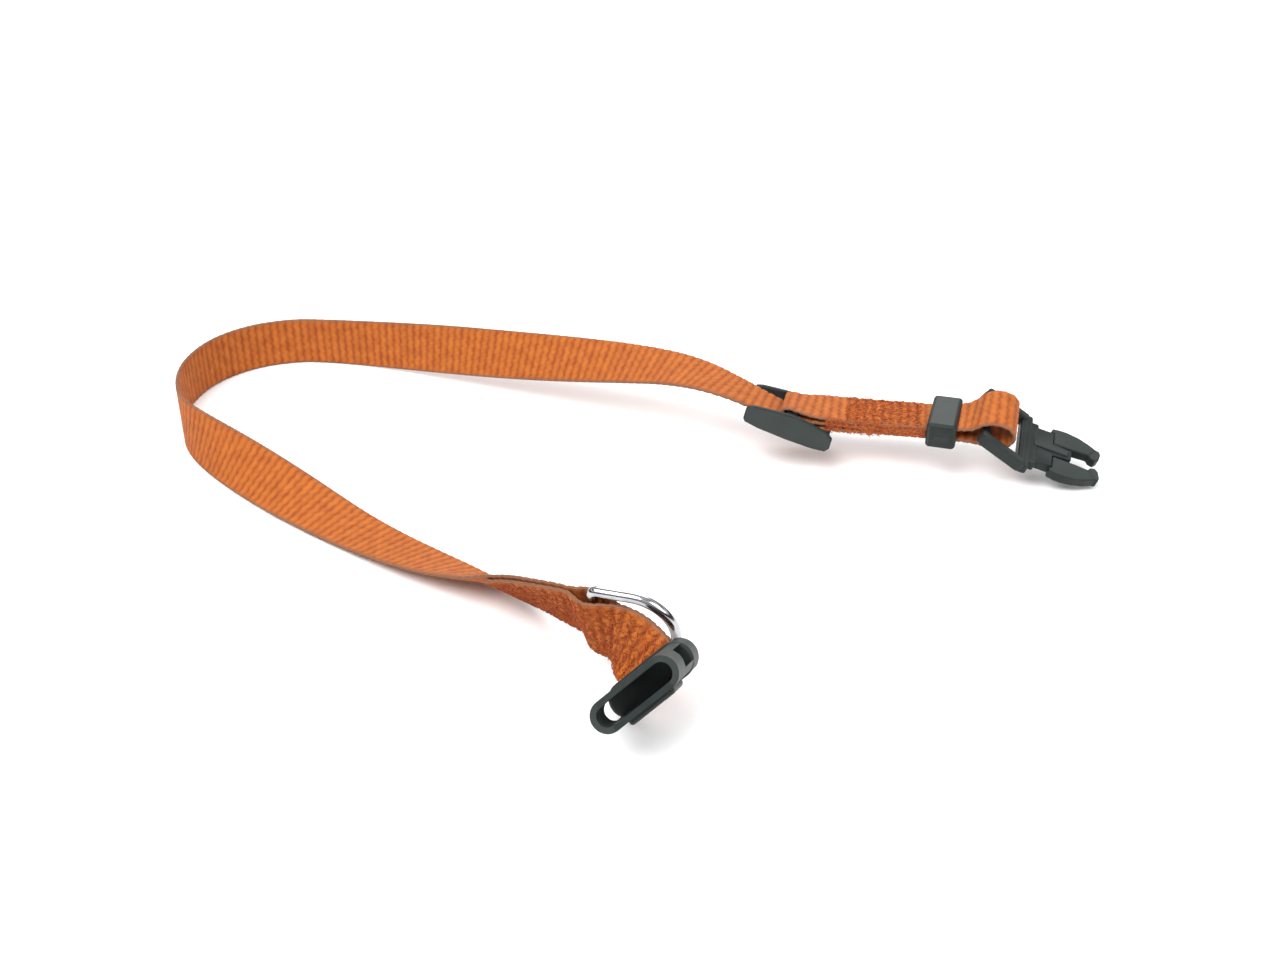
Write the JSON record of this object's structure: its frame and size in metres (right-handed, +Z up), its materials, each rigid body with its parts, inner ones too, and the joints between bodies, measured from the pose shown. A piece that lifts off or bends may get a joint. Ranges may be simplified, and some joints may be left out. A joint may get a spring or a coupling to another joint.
{
  "type": "adjustable webbing strap with side-release buckle",
  "caption": "Flat webbing strap laid in a sideways U, with a ladder slide, a keeper loop, an open side-release buckle and a D-ring sewn in beside its socket.",
  "frame": {"origin": "centre of the footprint, on the table that the strap lies on", "axes": "+X towards the prongs of the male buckle half, +Y away from the sewn end with the ring, +Z up"},
  "size_m": [0.2678, 0.2012, 0.0271],
  "materials": {
    "webbing": "woven, ribbed across",
    "thread": "twisted thread",
    "moulding": "semi-matt",
    "ring_metal": "polished"
  },
  "bodies": {
    "bend": {"webbing_bend": "webbing"},
    "far_strap": {"webbing_far_run": "webbing", "webbing_running_layer": "webbing", "webbing_tail_layer": "webbing", "webbing_top_layer": "webbing", "adjuster_stitching": "thread", "webbing_buckle_loop": "webbing"},
    "near_strap": {"webbing_near_run": "webbing", "webbing_sewn_back": "webbing", "webbing_sewn_front": "webbing", "webbing_buckle_fold": "webbing"},
    "adjuster": {"ladder_slide": "moulding", "webbing_slide_fold": "webbing"},
    "keeper": {"keeper_loop": "moulding"},
    "male_half": {"buckle_male_base": "moulding"},
    "prong_far": {"buckle_prong_far": "moulding"},
    "prong_near": {"buckle_prong_near": "moulding"},
    "female_half": {"buckle_female_housing": "moulding"},
    "ring": {"d_ring": "ring_metal"}
  },
  "joints": [
    {"name": "far_fold", "type": "hinge", "parent": "bend", "child": "far_strap", "pos_m": [-0.0954, 0.09965, 0.0075], "axis": [0, 0, 1], "range_deg": [-12, 12]},
    {"name": "near_fold", "type": "hinge", "parent": "bend", "child": "near_strap", "pos_m": [-0.12945, 0.0484, 0.0075], "axis": [0, 0, 1], "range_deg": [-12, 12]},
    {"name": "adjuster_slide", "type": "slide", "parent": "far_strap", "child": "adjuster", "axis": [0.8986, -0.2747, -0.342], "range_m": [-0.004, 0]},
    {"name": "keeper_slide", "type": "slide", "parent": "far_strap", "child": "keeper", "axis": [0.9866, -0.1633, 0], "range_m": [-0.012, 0]},
    {"name": "male_swing", "type": "hinge", "parent": "far_strap", "child": "male_half", "pos_m": [0.1011, 0.02775, 0.0174], "axis": [0.25, 0.941, 0.228], "range_deg": [-15, 10]},
    {"name": "prong_far_flex", "type": "hinge", "parent": "male_half", "child": "prong_far", "pos_m": [0.12042, 0.0286, 0.00805], "axis": [-0.229, 0.2863, -0.9304], "range_deg": [0, 7], "stiffness_Nm_per_rad": 0.05},
    {"name": "prong_near_flex", "type": "hinge", "parent": "male_half", "child": "prong_near", "pos_m": [0.11867, 0.02201, 0.00646], "axis": [0.229, -0.2863, 0.9304], "range_deg": [0, 7], "stiffness_Nm_per_rad": 0.05},
    {"name": "female_swing", "type": "hinge", "parent": "near_strap", "child": "female_half", "pos_m": [0.008, -0.07815, 0.009], "axis": [0.7557, 0.1529, 0.6368], "range_deg": [-15, 15]},
    {"name": "ring_swing", "type": "hinge", "parent": "near_strap", "child": "ring", "pos_m": [-0.00521, -0.06261, 0.0126], "axis": [-0.1125, -0.1786, 0.9775], "range_deg": [-3, 38]}
  ]
}
